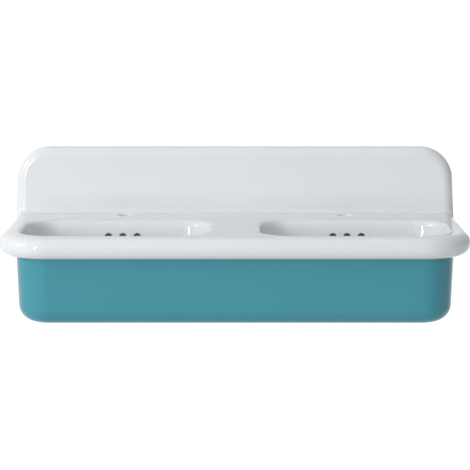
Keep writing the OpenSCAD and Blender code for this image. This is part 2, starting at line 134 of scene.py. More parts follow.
def finishSkin(skin, name, whole=False):
    # Welds the skin into one closed mesh in metres. A casting's skin is its right half, with heights from the
    # deck, so it is lifted and joined by its mirror image in x, and its flats keep an even shading.
    points = np.concatenate(skin["points"])
    faces = skin["faces"]
    if not whole:
        points[:, 2] += deckHeight
        faces = faces + [[v + len(points) for v in reversed(f)] for f in faces]
        points = np.concatenate([points, points * [-1, 1, 1]])
    mesh = bpy.data.meshes.new(name)
    mesh.from_pydata((points * mm).tolist(), [], faces)
    bm = bmesh.new()
    bm.from_mesh(mesh)
    bmesh.ops.remove_doubles(bm, verts=bm.verts, dist=meshFinish["weld"])
    bmesh.ops.dissolve_degenerate(bm, dist=meshFinish["sliver"], edges=bm.edges)
    bmesh.ops.recalc_face_normals(bm, faces=bm.faces)
    loose = sum(1 for e in bm.edges if len(e.link_faces) != 2)
    volume = bm.calc_volume() * 1e6
    print(f"{name}: {len(bm.verts)} points, {len(bm.faces)} faces, {loose} open edges, {volume:.0f} cm3")
    bm.to_mesh(mesh)
    bm.free()
    mesh.shade_smooth()
    mesh.set_sharp_from_angle(angle=math.radians(meshFinish["sharpAngle"]))
    piece = bpy.data.objects.new(name, mesh)
    scene.collection.objects.link(piece)
    if not whole:
        smooth = piece.modifiers.new("evenShading", "WEIGHTED_NORMAL")
        smooth.keep_sharp = True
        smooth.weight = meshFinish["flatWeight"]
    return piece


def frontPath(half, deep, corner, back, counts):
    # Half of an outline that is open at the wall, from the back down the side, round the front corner and
    # along the front to the middle: base points on the corner's inner lines, and the outward direction
    side, bend, front = counts
    x0, y0 = half - corner, corner - deep
    a = np.linspace(0, -math.pi / 2, bend + 1)
    bases = np.concatenate([
        np.column_stack([np.full(side, x0), np.linspace(back, y0, side + 1)[:-1]]),
        np.column_stack([np.full(bend + 1, x0), np.full(bend + 1, y0)]),
        np.column_stack([np.linspace(x0, 0, front + 1), np.full(front + 1, y0)])[1:]])
    out = np.concatenate([
        np.tile([1.0, 0.0], (side, 1)), np.column_stack([np.cos(a), np.sin(a)]),
        np.tile([0.0, -1.0], (front, 1))])
    return bases, out


def sweep(bases, out, section):
    # Each section point (u, z) stands u out from the base points, at height z
    plan = bases[:, None, :] + out[:, None, :] * section[None, :, :1]
    height = np.broadcast_to(section[None, :, 1:], plan.shape[:2] + (1,))
    return np.concatenate([plan, height], axis=2)


def circle(centre, radius, axis, count):
    # A circle about the point centre, square to the axis (0 for x, 1 for y, 2 for z)
    a = np.linspace(0, 2 * math.pi, count + 1)[:-1]
    spokes = np.insert(radius * np.column_stack([np.cos(a), np.sin(a)]), axis, 0, axis=1)
    return np.asarray(centre, float) + spokes


# The white casting. Heights count from the deck, and u counts out from the axis of a corner.
basinShape = {
    "wall": 12, "roll": 28, "corner": 132, "land": 10, "splashHeight": 181, "splashCorner": 86,
    "cove": 13, "sideCove": 44, "joint": 60, "jointTop": 30,      # the joint's reach along the deck and up
    "lean": 0.055, "leanStart": 20,                               # how the splashback's sides lean in
    "divider": 96, "deck": 112, "bowlCorner": 95, "bowlDepth": 145, "fillet": 46, "draft": 8,
    "lip": 26, "endLip": 16, "dividerLip": 19, "frontLip": 20, "frontLand": 8,
    "endSquare": 1.8, "lipFade": 78,
    "dishFall": 5, "dishCurve": 1.6, "flange": 32.5, "flangeThick": 3, "gasketThick": 1.5,
    "seatGap": 1, "seatEdge": 1, "wasteHole": 23,
    "bossThick": 10, "bossRadius": 43, "bossFoot": 3, "bossEdge": 2,
    "tapHole": 17.5, "tapEdge": 5, "tapFall": 8, "bushHole": 12, "backDrop": 120,
    "overflowHole": 10, "overflowEdge": 1.2, "overflowPitch": 38, "overflowDrop": 44,
    "patchMargin": 12, "patchTop": -29, "patchLow": -61,          # the block of the back wall with the holes
    "innerHeights": (-68, -75, -82, -90), "outerHeights": (-75, -90), "freeHeight": -32,
    # how finely each stretch is divided
    "rimSteps": (26, 36, 44), "splashSteps": (5, 30, 40), "rollSteps": 18, "jointSteps": 4, "coveSteps": 10,
    "deckCoveSteps": 23, "cornerSteps": 28, "sideSteps": 8,
    "besideSteps": 6, "patchSteps": 12, "patchRows": 4,           # the back wall beside and along the block
    "lipSteps": 14, "filletSteps": 16, "floorSteps": 10, "outerFilletSteps": 14, "outerFloorSteps": 6,
    "freeLipSteps": 6, "seatSteps": 3, "bossSteps": 4, "overflowSteps": 32, "overflowEdgeSteps": 5,
    "tapSteps": 48, "tapEdgeSteps": 7, "bushSteps": 40,
}
deckHeight = basinHigh[2] / mm - basinShape["splashHeight"]
tapX, tapY = (v / mm for v in mounts["tap_hole_right"]["pos_m"][:2])
fixingX = mounts["wall_fixings"]["dims"]["spacing_x_mm"] / 2
wasteX, wasteY = (v / mm for v in mounts["waste_tail_right"]["pos_m"][:2])


def rimAndSplash(skin, s):
    # The rim is a half circle carried round the sides and the front, and the splashback's edge a quarter
    # circle carried up the side and along the top. Between them each angle round the two rolls has a level
    # line, a cove and an upright line, and the cove's radius grows from the deck's to the side's by the
    # square of the angle's sine. Gives the outlines of the three flats that meet these rolls.
    r, rows = s["roll"], s["jointSteps"] + 1
    side = np.radians(np.linspace(0, 90, s["rollSteps"] + 1))
    bases, out = frontPath(halfWidth, depth, s["corner"], -s["joint"], s["rimSteps"])
    roll = arc(r, 90, -90, 2 * s["rollSteps"]) + [s["corner"] - r, -r]
    rim = sweep(bases, out, roll)
    strip(skin, rim)

    lines = []
    for a in side:
        radius = s["cove"] + (s["sideCove"] - s["cove"]) * math.sin(a) ** 2
        y1, z0 = -r * math.cos(a) - radius, -r * (1 - math.cos(a))
        bend = arc(radius, -90, 0, s["coveSteps"]) + [y1, z0 + radius]
        level = np.column_stack([np.linspace(-s["joint"], y1, rows), np.full(rows, z0)])
        upright = np.column_stack([np.full(rows, y1 + radius), np.linspace(z0 + radius, s["jointTop"], rows)])
        line = np.concatenate([level, bend[1:], upright[1:]])
        lines.append(np.column_stack([np.full(len(line), halfWidth - r + r * math.sin(a)), line]))
    joint = np.stack(lines, axis=1)
    strip(skin, joint)
    first, last = s["jointSteps"], s["jointSteps"] + s["coveSteps"]       # the cove's rows in the joint
    bend = joint[first:last + 1]

    lowY = np.append(joint[:rows, -1, 1], 0.0)
    lowBases = np.column_stack([np.full(len(lowY), halfWidth - s["corner"]), lowY])
    low = sweep(lowBases, np.tile([1.0, 0.0], (len(lowY), 1)), roll[s["rollSteps"]:])
    strip(skin, low)
    fill(skin, [joinPoints([bend[:, -1], [halfWidth, 0, -r]])], 0)
    coveX = np.linspace(0, halfWidth - r, s["deckCoveSteps"] + 1)
    cove = np.stack([np.column_stack([np.full(len(bend), x), bend[:, 0, 1:]]) for x in coveX])
    strip(skin, cove)

    bases, out = frontPath(halfWidth, s["splashHeight"], s["splashCorner"], -s["jointTop"], s["splashSteps"])
    quarter = np.column_stack([s["splashCorner"] - r + r * np.sin(side), -r * np.cos(side)])
    edge = sweep(bases, out, quarter)[:, :, [0, 2, 1]] * [1, 1, -1]
    strip(skin, edge)
    fill(skin, [joinPoints([cove[:, -1], joint[last + 1:, 0], edge[1:, 0]])], 1)
    return {
        "deck": joinPoints([cove[:, 0], joint[first - 1::-1, 0], rim[1:, 0]]),
        "back": joinPoints([edge[::-1, -1], joint[-2:last - 1:-1, -1], low[-1]]),
        "under": joinPoints([low[::-1, -1], rim[1:, -1]])}


def bowlRing(s):
    # The closed outline of the right bowl between its corner axes: base points, direction angles in degrees,
    # and how much each angle gives way where the bowl's skin runs into the solid rim
    x0 = s["divider"] / 2 + s["bowlCorner"]
    x1 = halfWidth - s["roll"] - s["land"] - s["bowlCorner"]
    y0 = -depth + s["roll"] + s["land"] + s["bowlCorner"]
    y1 = -s["roll"] - s["deck"] - s["bowlCorner"]
    patch = s["overflowPitch"] + s["overflowHole"] + s["patchMargin"]
    n, side, beside = s["cornerSteps"], s["sideSteps"], s["besideSteps"]
    row = 2 * beside + s["patchSteps"]
    t = np.linspace(0, 1, n + 1)[:-1]
    upX = np.concatenate([
        np.linspace(x0, tapX - patch, beside + 1)[:-1],
        np.linspace(tapX - patch, tapX + patch, s["patchSteps"] + 1)[:-1],
        np.linspace(tapX + patch, x1, beside + 1)[:-1]])
    downX = np.linspace(x1, x0, row + 1)[:-1]
    upY = np.linspace(y0, y1, side + 1)
    parts = [
        (np.full(n, x0), np.full(n, y0), 270 - 90 * t, -(1 - t)),
        (np.full(side, x0), upY[:-1], np.full(side, 180.0), np.zeros(side)),
        (np.full(n, x0), np.full(n, y1), 180 - 90 * t, np.zeros(n)),
        (upX, np.full(row, y1), np.full(row, 90.0), np.zeros(row)),
        (np.full(n, x1), np.full(n, y1), 90 - 90 * t, t),
        (np.full(side, x1), upY[:0:-1], np.zeros(side), np.ones(side)),
        (np.full(n, x1), np.full(n, y0), -90 * t, np.zeros(n)),
        (downX, np.full(row, y0), np.full(row, -90.0), np.zeros(row)),
    ]
    x, y, angle, give = (np.concatenate([p[k] for p in parts]) for k in range(4))
    start = 2 * n + side + beside
    return {
        "base": np.column_stack([x, y]), "angle": angle, "give": give, "end": 3 * n + side + row,
        "patch": (start, start + s["patchSteps"]), "x0": x0, "x1": x1, "y0": y0, "y1": y1,
        "waste": np.array([tapX, (y0 + y1) / 2])}


def ringRow(ring, u, z, give=0.0, last=None):
    # One row of points u out from the ring's base points, at height z. Either may be an array round the ring.
    a = np.radians(ring["angle"] + ring["give"] * give)[:last]
    u, z = (np.broadcast_to(v, a.shape) for v in (u, z))
    plan = ring["base"][:last] + u[:, None] * np.column_stack([np.cos(a), np.sin(a)])
    return np.column_stack([plan, z])


def toCircle(row, centre, radius, z, share):
    # Moves a row of the bowl's floor towards a circle round the waste: share 1 is the circle itself
    spoke = row[:, :2] - centre
    spoke = spoke / np.linalg.norm(spoke, axis=1)[:, None]
    plan = (1 - share) * row[:, :2] + share * (centre + radius * spoke)
    return np.column_stack([plan, np.full(len(plan), z)])


def bowlWall(s):
    # The wall is a straight line that leans in by the draft, from the foot of the lip's arc to the start of
    # the floor's fillet. fillet holds the centre of that arc, and shift is the wall's thickness taken level.
    draft = math.radians(s["draft"])
    topU, topZ = arc(s["lip"], 90, 180 - s["draft"], 1)[-1] + [s["bowlCorner"], -s["lip"]]
    floorZ = -s["bowlDepth"]
    filletZ = floorZ + s["fillet"]
    footZ = filletZ - s["fillet"] * math.sin(draft)
    filletU = topU - (topZ - footZ) * math.tan(draft) - s["fillet"] * math.cos(draft)
    seatZ = floorZ - s["dishFall"] - s["flangeThick"] - s["gasketThick"]
    return {
        "topU": topU, "topZ": topZ, "slope": math.tan(draft), "shift": s["wall"] / math.cos(draft),
        "floorZ": floorZ, "fillet": [filletU, filletZ], "seatZ": seatZ, "bossZ": seatZ - s["bossThick"],
        "underZ": -2 * s["roll"], "freeTop": topZ - s["wall"] * math.sin(draft)}


def wallAt(wall, z, shift=0.0):
    # How far out the wall's line stands at height z, moved out by shift
    return wall["topU"] - (wall["topZ"] - z) * wall["slope"] + shift


def bowlLip(s, ring, wall):
    # The lip is a quarter of a superellipse, a circle at the front and back and smaller and squarer at the
    # two ends, by the square of the direction's x, and it starts further in at the front, by the square of
    # the direction's y. Gives its rows (u, z), and how far its foot stands out from the wall's line.
    angle = np.radians(ring["angle"])
    facing, ahead = np.cos(angle), np.maximum(-np.sin(angle), 0) ** 2
    endRadius = np.where(facing > 0, s["endLip"], s["dividerLip"])
    radius = s["lip"] + (endRadius - s["lip"]) * facing ** 2 + (s["frontLip"] - s["lip"]) * ahead
    start = s["bowlCorner"] - s["frontLand"] * ahead
    power = 2 / (2 + s["endSquare"] * facing ** 2)
    rows = [
        (start - radius * abs(c) ** power, radius * (h ** power - 1))
        for c, h in arc(1, 90, 180 - s["draft"], s["lipSteps"])]
    return rows, rows[-1][0] - wallAt(wall, rows[-1][1])


def bowlInside(skin, s, ring, wall):
    # Rows round the bowl: the lip, the wall, the fillet, the floor, whose fall grows as a power of the way to
    # the waste, and the seat of the waste's flange. What the lip takes from the wall or adds to it fades out
    # on the way down as a smooth step.
    lip, gain = bowlLip(s, ring, wall)
    rows = [ringRow(ring, u, z) for u, z in lip]
    patchHeights = np.linspace(s["patchTop"], s["patchLow"], s["patchRows"] + 1)
    for z in np.concatenate([patchHeights, s["innerHeights"]]):
        fall = min(1.0, (wall["topZ"] - z) / s["lipFade"])
        rows.append(ringRow(ring, wallAt(wall, z) + gain * (1 - smoothStep(fall)), z))
    fillet = arc(s["fillet"], -s["draft"], -90, s["filletSteps"]) + wall["fillet"]
    rows += [ringRow(ring, u, z) for u, z in fillet]
    floorRow, seat, edge = rows[-1], s["flange"] + s["seatGap"], s["seatEdge"]
    for share in np.linspace(0, 1, s["floorSteps"] + 1)[1:]:
        z = wall["floorZ"] - s["dishFall"] * share ** s["dishCurve"]
        rows.append(toCircle(floorRow, ring["waste"], seat + edge, z, share))
    seatRows = np.concatenate([
        arc(edge, 90, 180, s["seatSteps"])[1:] + [seat + edge, wall["floorZ"] - s["dishFall"] - edge],
        [[seat, wall["seatZ"]], [s["wasteHole"], wall["seatZ"]], [s["wasteHole"], wall["bossZ"]]]])
    rows += [toCircle(floorRow, ring["waste"], u, z, 1) for u, z in seatRows]
    first = s["lipSteps"] + 1
    hole = (first, first + s["patchRows"]) + ring["patch"]
    inner = np.stack(rows)
    strip(skin, inner, closed=True, hole=hole)
    return inner, block(inner, *hole)


def bowlFree(skin, s, ring, wall):
    # On the two sides that stand free, the outer skin runs on from the rim's underside to the deck's: rows
    # (u, z) up the wall and round the lip. At the ends each row turns by the angle whose cosine is the
    # first row's u over its own, which keeps its last point in the plane of the rim's inner side.
    heights = (wall["underZ"], s["freeHeight"], wall["freeTop"])
    line = [[wallAt(wall, z, wall["shift"]), z] for z in heights]
    lip = arc(s["lip"] - s["wall"], 180 - s["draft"], 90, s["freeLipSteps"])[1:]
    lip += [s["bowlCorner"], -s["lip"]]
    base = line[0][0]
    free = np.stack([
        ringRow(ring, u, z, math.degrees(math.acos(min(1.0, base / u))), ring["end"] + 1)
        for u, z in np.concatenate([line, lip])])
    hole = (0, 1) + ring["patch"]
    strip(skin, free, hole=hole)
    return free, block(free, *hole)


def bowlUnder(skin, s, ring, wall):
    # Rows round the bowl's outside below the rim: the wall, the fillet, the floor and the boss of the waste
    thick, foot, edge = s["wall"], s["bossFoot"], s["bossEdge"]
    line = [[wallAt(wall, z, wall["shift"]), z] for z in (wall["underZ"],) + s["outerHeights"]]
    fillet = arc(s["fillet"] + thick, -s["draft"], -90, s["outerFilletSteps"]) + wall["fillet"]
    rows = [ringRow(ring, u, z) for u, z in np.concatenate([line, fillet])]
    floorRow, z = rows[-1], wall["floorZ"] - thick
    for share in np.linspace(0, 1, s["outerFloorSteps"] + 1)[1:]:
        rows.append(toCircle(floorRow, ring["waste"], s["bossRadius"] + foot, z, share))
    boss = np.concatenate([
        arc(foot, 90, 180, s["bossSteps"])[1:] + [s["bossRadius"] + foot, z - foot],
        arc(edge, 0, -90, s["bossSteps"]) + [s["bossRadius"] - edge, wall["bossZ"] + edge],
        [[s["wasteHole"], wall["bossZ"]]]])
    rows += [toCircle(floorRow, ring["waste"], u, z, 1) for u, z in boss]
    strip(skin, np.stack(rows), closed=True)


def overflowHoles(skin, s, ring, wall, innerBlock, outerBlock):
    # Three holes through the bowl's back wall, each a stack of circles on the wall's slope. Round the edge
    # inside the bowl, the radius shrinks by the edge angle's sine and the depth grows by its cosine.
    innerLoops, outerLoops = [], []
    turns = np.radians(np.linspace(0, 90, s["overflowEdgeSteps"] + 1))
    sizes = [(s["overflowEdge"] * (1 - math.sin(a)), s["overflowEdge"] * (1 - math.cos(a))) for a in turns]
    for k in (-1, 0, 1):
        centre = [tapX + k * s["overflowPitch"], 0, -s["overflowDrop"]]
        loops = []
        for wider, inward in sizes + [(0, wall["shift"])]:
            loop = circle(centre, s["overflowHole"] + wider, 1, s["overflowSteps"])
            loop[:, 1] = ring["y1"] + wallAt(wall, loop[:, 2], inward)
            loops.append(loop)
        strip(skin, np.stack(loops), closed=True)
        innerLoops.append(loops[0])
        outerLoops.append(loops[-1])
    fill(skin, [innerBlock] + innerLoops, 1)
    fill(skin, [outerBlock] + outerLoops, 1)


def tapAndFixingHoles(skin, s):
    # The tap hole is a stack of circles too: its edge's radius shrinks by the angle's sine, and it falls by
    # its cosine. The fixing hole has a circle on each side of the wall.
    tap = []
    for a in np.radians(np.linspace(0, 90, s["tapEdgeSteps"] + 1)):
        centre = [tapX, tapY, -s["tapFall"] * (1 - math.cos(a))]
        tap.append(circle(centre, s["tapHole"] + s["tapEdge"] * (1 - math.sin(a)), 2, s["tapSteps"]))
    tap.append(circle([tapX, tapY, -s["wall"]], s["tapHole"], 2, s["tapSteps"]))
    strip(skin, np.stack(tap), closed=True)
    fixing = [circle([fixingX, y, -deckHeight], s["bushHole"], 1, s["bushSteps"]) for y in (0, -s["wall"])]
    strip(skin, np.stack(fixing), closed=True)
    return tap, fixing


def flats(skin, s, ring, wall, edges, inner, free, tap, fixing):
    # Flat areas between the curved ones: the deck, the back, the undersides of rim and deck, the inner sides
    # of the rim, and the back flange that reaches down behind the bowls
    r, t, underZ, low = s["roll"], s["wall"], wall["underZ"], -s["backDrop"]
    base = wallAt(wall, underZ, wall["shift"])
    x, y = ring["x1"] + base, ring["y0"] - base        # the rim's free inner side, and its front one
    endRow = ringRow(ring, base, underZ)[:ring["end"] - 1:-1]
    outlines = (
        (2, [edges["deck"]], [inner[0], tap[0]]),
        (1, [edges["back"], [x, 0, underZ], [x, 0, low], [0, 0, low]], [fixing[0]]),
        (2, [edges["under"], [0, y, underZ], free[0, 0], endRow, [x, -t, underZ], [x, 0, underZ]], []),
        (1, [[0, y, underZ], free[:, 0], [0, y, -t]], []),
        (0, [free[:, -1], [x, -r, -t], [x, -r, -r], [x, -t, -r], [x, -t, underZ]], []),
        (2, [[0, y, -t], free[-1], [x, -r, -t], [0, -r, -t]], [tap[-1]]),
        (0, [[x, -t, underZ], [x, -t, low], [x, 0, low], [x, 0, underZ]], []),
        (1, [[0, -r, -t], [x, -r, -t], [x, -r, -r], [0, -r, -r]], []),
        (2, [[0, -r, -r], [x, -r, -r], [x, -t, -r], [0, -t, -r]], []),
        (1, [[0, -t, -r], [x, -t, -r], [x, -t, underZ], [x, -t, low], [0, -t, low]], [fixing[1]]),
        (2, [[0, -t, low], [x, -t, low], [x, 0, low], [0, 0, low]], []),
    )
    for drop, outline, holes in outlines:
        fill(skin, [joinPoints(outline)] + holes, drop)


def leanIn(skin, s):
    # Above its start, the splashback narrows by a share of the height, and the lean begins as a parabola
    start = s["leanStart"]
    for points in skin["points"]:
        z = points[:, 2]
        drawn = np.where(z > start, z - start / 2, np.maximum(z, 0) ** 2 / (2 * start)) * s["lean"]
        points[:, 0] *= 1 - drawn / halfWidth


def makeBasin(s):
    # The casting's right half, which finishSkin mirrors
    skin = newSkin()
    edges = rimAndSplash(skin, s)
    ring, wall = bowlRing(s), bowlWall(s)
    inner, innerBlock = bowlInside(skin, s, ring, wall)
    free, outerBlock = bowlFree(skin, s, ring, wall)
    bowlUnder(skin, s, ring, wall)
    overflowHoles(skin, s, ring, wall, innerBlock, outerBlock)
    tap, fixing = tapAndFixingHoles(skin, s)
    flats(skin, s, ring, wall, edges, inner, free, tap, fixing)
    leanIn(skin, s)
    return finishSkin(skin, "whiteCasting")


# The teal casting under the rim, open underneath. Its sides stand wider than the solid's.
apronShape = {
    "corner": 88, "draft": 1.8, "fillet": 44, "thick": 9, "border": 89, "openingCorner": 30, "top": 56,
    "wider": 4.5, "wallSteps": 9, "pathSteps": (20, 32, 40), "filletSteps": 20, "innerFilletSteps": 14,
    "openingSteps": (16, 16, 32), "edgeSteps": 8,
}
apronLow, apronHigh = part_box("apron")


def makeApron(s):
    # A section carried round the sides and the front, outside and inside: a wall that leans in by the draft
    # and a fillet into the floor. The floor's opening has a half circle for its edge.
    skin = newSkin()
    half, deep = apronHigh[0] / mm, -apronLow[1] / mm
    bottom = apronLow[2] / mm - deckHeight
    draft = math.radians(s["draft"])
    topZ = -s["top"]
    filletZ = bottom + s["fillet"]
    footZ = filletZ - s["fillet"] * math.sin(draft)
    filletU = s["corner"] - (topZ - footZ) * math.tan(draft) - s["fillet"] * math.cos(draft)
    wallZ = np.linspace(topZ, footZ, s["wallSteps"] + 1)[:-1]
    wall = np.column_stack([s["corner"] - (topZ - wallZ) * math.tan(draft), wallZ])
    outer = np.concatenate([wall, arc(s["fillet"], -s["draft"], -90, s["filletSteps"]) + [filletU, filletZ]])
    innerArc = arc(s["fillet"] - s["thick"], -90, -s["draft"], s["innerFilletSteps"]) + [filletU, filletZ]
    innerTop = [[s["corner"] - s["thick"] / math.cos(draft), topZ], [s["corner"], topZ]]
    bases, out = frontPath(half + s["wider"], deep, s["corner"], 0, s["pathSteps"])
    outside = sweep(bases, out, outer)
    inside = sweep(bases, out, np.concatenate([innerArc, innerTop]))
    strip(skin, outside)
    strip(skin, inside)
    edge = s["thick"] / 2
    lipSection = arc(edge, -90, -270, s["edgeSteps"]) + [s["openingCorner"] + edge, bottom + edge]
    bases, out = frontPath(half - s["border"], deep - s["border"], s["openingCorner"], 0, s["openingSteps"])
    lip = sweep(bases, out, lipSection)
    strip(skin, lip)
    fill(skin, [joinPoints([outside[:, -1], lip[::-1, 0]])], 2)
    fill(skin, [joinPoints([inside[:, 0], lip[::-1, -1]])], 2)
    fill(skin, [joinPoints([outside[0], lip[0], inside[0, :-1]])], 1)
    return finishSkin(skin, "tealCasting")


# The spring of each plug's latch, with a closed turn at each end.
springShape = {
    "wire": 0.9, "turns": 5, "endTurns": 0.9, "opensFrom": 0.5, "endPitch": 1.0, "perTurn": 28, "sides": 10,
}


def makeSpring(side, s):
    # A circle carried up a helix. Its pitch grows as a smooth step from the closed end turns' to the
    # middle's, and its height is the running sum of the pitches.
    skin = newSkin()
    node, joint = "latch_spring_" + side, f"plug_{side}_slide"
    low, high = (np.array(v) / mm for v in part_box(node))
    centre, half = (low + high) / 2, s["wire"] / 2
    coil = (high[0] - low[0]) / 2 - half
    steps = s["turns"] * s["perTurn"]
    turn = np.linspace(0, s["turns"], steps + 1)
    middle = (turn[1:] + turn[:-1]) / 2
    fromEnd = np.minimum(middle, s["turns"] - middle)
    opened = smoothStep(np.clip(fromEnd / s["endTurns"] - s["opensFrom"], 0, 1))
    rise = (high[2] - low[2] - s["wire"]) * s["perTurn"]
    pitch = (rise - s["endPitch"] * (1 - opened).sum()) / opened.sum()
    climb = (s["endPitch"] * (1 - opened) + pitch * opened) / s["perTurn"]
    height = low[2] + half + np.concatenate([[0], np.cumsum(climb)])
    a = 2 * math.pi * turn[:, None]
    k = np.linspace(0, 2 * math.pi, s["sides"] + 1)[:-1]
    out = coil + half * np.cos(k)
    grid = np.stack([
        centre[0] + out * np.cos(a), centre[1] + out * np.sin(a), height[:, None] + half * np.sin(k)], axis=2)
    strip(skin, grid, closed=True)
    last = steps * s["sides"]
    skin["faces"] += [list(range(s["sides"])), list(range(last, last + s["sides"]))]
    piece = finishSkin(skin, "latchSpring_" + side, whole=True)
    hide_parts(node)
    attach(piece, "basin")
    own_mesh(piece)
    return piece


whiteCasting = makeBasin(basinShape)
tealCasting = makeApron(apronShape)
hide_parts("basin")
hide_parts("apron")
for piece in (whiteCasting, tealCasting):
    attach(piece, "basin")
springs = [makeSpring(side, springShape) for side in ("left", "right")]
print("castings and springs made")


# Materials
def nodeGroup(name, inputs):
    # A shader node group. Its inputs are (name, value), a colour where the value is a tuple, and every group
    # also takes a place and gives a colour, a roughness and a height.
    group = bpy.data.node_groups.new(name, "ShaderNodeTree")
    group.interface.new_socket("Vector", in_out="INPUT", socket_type="NodeSocketVector")
    for label, value in inputs:
        kind = "NodeSocketColor" if isinstance(value, tuple) else "NodeSocketFloat"
        group.interface.new_socket(label, in_out="INPUT", socket_type=kind).default_value = value
    for label, kind in (("Colour", "Color"), ("Roughness", "Float"), ("Height", "Float")):
        group.interface.new_socket(label, in_out="OUTPUT", socket_type="NodeSocket" + kind)
    return group, group.nodes.new("NodeGroupInput").outputs, group.nodes.new("NodeGroupOutput").inputs


def finishGroup(group, made, colour, roughness, height):
    for label, value in (("Colour", colour), ("Roughness", roughness), ("Height", height)):
        group.links.new(value, made[label])
    return group


def ramp(tree, value, low, high, start=0.0, end=1.0):
    # Maps low..high to start..end, clamped
    node = tree.nodes.new("ShaderNodeMapRange")
    for k, v in enumerate((low, high, start, end)):
        node.inputs[k + 1].default_value = v
    tree.links.new(value, node.inputs[0])
    return node.outputs[0]


def noise(tree, vector, look):
    # Cloudy noise. Where look names a span of its values, that span is stretched to 0..1.
    node = tree.nodes.new("ShaderNodeTexNoise")
    node.inputs["Scale"].default_value = look["scale"]
    node.inputs["Detail"].default_value = look["detail"]
    node.inputs["Roughness"].default_value = look.get("rough", 0.5)
    tree.links.new(vector, node.inputs["Vector"])
    made = node.outputs["Fac"]
    return ramp(tree, made, *look["span"]) if "span" in look else made


def dots(tree, vector, look):
    # Round dots: 1 at scattered points, falling to 0 across the span of distances
    node = tree.nodes.new("ShaderNodeTexVoronoi")
    node.inputs["Scale"].default_value = look["scale"]
    tree.links.new(vector, node.inputs["Vector"])
    return ramp(tree, node.outputs["Distance"], *look["span"], 1.0, 0.0)


def maths(tree, kind, a, b=0.0):
    node = tree.nodes.new("ShaderNodeMath")
    node.operation = kind
    for k, v in enumerate((a, b)):
        if isinstance(v, (int, float)):
            node.inputs[k].default_value = v
        else:
            tree.links.new(v, node.inputs[k])
    return node.outputs[0]


def total(tree, *values):
    made = values[0]
    for v in values[1:]:
        made = maths(tree, "ADD", made, v)
    return made


def times(tree, *values):
    made = values[0]
    for v in values[1:]:
        made = maths(tree, "MULTIPLY", made, v)
    return made


def mixColour(tree, share, a, b):
    node = tree.nodes.new("ShaderNodeMix")
    node.data_type = "RGBA"
    for socket, v in ((node.inputs[0], share), (node.inputs[6], a), (node.inputs[7], b)):
        if hasattr(v, "links"):
            tree.links.new(v, socket)
        else:
            socket.default_value = v
    return node.outputs[2]


glazeTexture = {
    "drift": {"scale": 5.0, "detail": 3.0, "span": (0.35, 0.68)},
    "cloud": {"scale": 38.0, "detail": 4.0, "rough": 0.6, "span": (0.3, 0.75)},
    "pins": {"scale": 60.0, "span": (0.02, 0.07)},
    "pinned": {"scale": 11.0, "detail": 1.0, "span": (0.60, 0.66)},
    "patch": {"scale": 14.0, "detail": 5.0, "rough": 0.65, "span": (0.42, 0.72)},
    "waves": {"scale": 7.0, "detail": 1.0, "rough": 0.4}, "peel": {"scale": 55.0, "detail": 1.0},
    "cloudShare": 0.4, "pooledShare": 0.7, "pinShare": 0.35, "pinColour": (0.30, 0.29, 0.27, 1),
    "pinRoughness": 0.3, "peelHeight": 0.03, "pinDepth": 0.15,
}


def glazeGroup(s):
    # Fired glaze: slow drifts of colour, slight waves in the surface, faint pinholes and patches of dulling
    group, given, made = nodeGroup("firedGlaze", [
        ("Colour", (0.8, 0.8, 0.8, 1)), ("Pooled Colour", (0.7, 0.7, 0.7, 1)), ("Drift", 0.5), ("Dull", 0.05),
        ("Gloss", 0.08)])
    vector = given["Vector"]
    cloud = times(group, noise(group, vector, s["cloud"]), s["cloudShare"])
    drift = total(group, noise(group, vector, s["drift"]), cloud)
    pooled = times(group, drift, s["pooledShare"], given["Drift"])
    pin = times(group, dots(group, vector, s["pins"]), noise(group, vector, s["pinned"]))
    colour = mixColour(group, pooled, given["Colour"], given["Pooled Colour"])
    colour = mixColour(group, times(group, pin, s["pinShare"]), colour, s["pinColour"])
    dulled = times(group, noise(group, vector, s["patch"]), given["Dull"])
    roughness = total(group, given["Gloss"], dulled, times(group, pin, s["pinRoughness"]))
    peel = times(group, noise(group, vector, s["peel"]), s["peelHeight"])
    waves = total(group, noise(group, vector, s["waves"]), peel)
    height = maths(group, "SUBTRACT", waves, times(group, pin, s["pinDepth"]))
    return finishGroup(group, made, colour, roughness, height)


mouldedTexture = {
    "flow": {"scale": 90.0, "detail": 3.0, "rough": 0.55, "span": (0.35, 0.70)},
    "grain": {"scale": 1500.0, "detail": 3.0, "rough": 0.6},
    "bloom": {"scale": 210.0, "detail": 5.0, "rough": 0.65, "span": (0.45, 0.75)},
    "flowShare": 0.15, "flowRoughness": 0.06, "bloomRoughness": 0.3, "flowHeight": 0.6,
}


def mouldedGroup(s):
    # Moulded plastic or rubber: fine grain, faint flow clouds, a bloom of dust on part of it
    group, given, made = nodeGroup("moulded", [
        ("Colour", (0.8, 0.8, 0.8, 1)), ("Bloom Colour", (0.7, 0.7, 0.7, 1)), ("Bloom", 0.3), ("Gloss", 0.4)])
    vector = given["Vector"]
    flow = noise(group, vector, s["flow"])
    bloom = times(group, noise(group, vector, s["bloom"]), given["Bloom"])
    share = total(group, bloom, times(group, flow, s["flowShare"]))
    colour = mixColour(group, share, given["Colour"], given["Bloom Colour"])
    clouded = times(group, flow, s["flowRoughness"])
    roughness = total(group, given["Gloss"], clouded, times(group, bloom, s["bloomRoughness"]))
    height = total(group, noise(group, vector, s["grain"]), times(group, flow, s["flowHeight"]))
    return finishGroup(group, made, colour, roughness, height)


metalTexture = {
    "lines": {"scale": 1400.0, "detail": 3.0, "rough": 0.7},
    "cloud": {"scale": 120.0, "detail": 5.0, "rough": 0.6, "span": (0.42, 0.72)},
    "drops": {"scale": 260.0, "span": (0.10, 0.22)},
    "splashed": {"scale": 70.0, "detail": 1.0, "span": (0.5, 0.6)},
    "lineRoughness": 0.2, "stainRoughness": 0.25, "dropRoughness": 0.18, "dropHeight": 0.1,
}


